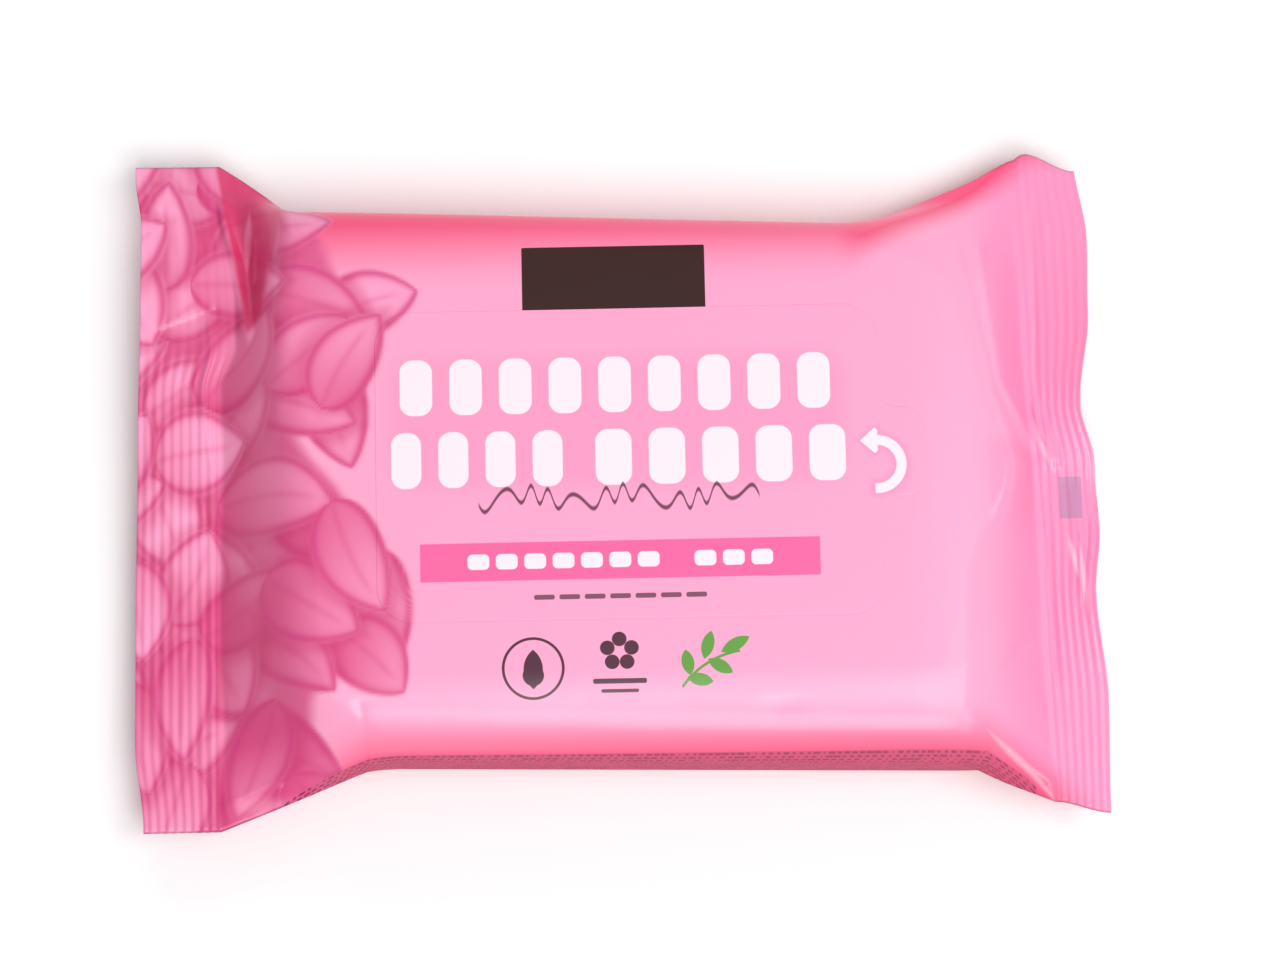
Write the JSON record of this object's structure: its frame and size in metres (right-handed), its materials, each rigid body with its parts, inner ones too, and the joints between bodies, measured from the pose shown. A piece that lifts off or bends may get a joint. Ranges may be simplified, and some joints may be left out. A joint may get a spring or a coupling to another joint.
{
  "type": "wet wipes pack",
  "caption": "Soft pink flow-wrapped pack of face wipes with crimped end seals and a peel-open label on the front.",
  "frame": {"origin": "middle of the pack's outline, at the level that the pack lies on", "axes": "+X along the pack towards the end that the label's tab points at, +Y across it towards the upper edge of the front, +Z out of the front panel"},
  "size_m": [0.1942, 0.1372, 0.0263],
  "materials": {
    "film": "printed polypropylene film, satin gloss: soft pink, with overlapping leaf shapes in deeper pink at the left end",
    "label": "printed self-adhesive film sheet, satin gloss, the same pink as the pack"
  },
  "bodies": {
    "root": {"sealed_pack": "film", "reseal_label": "label"}
  },
  "joints": []
}
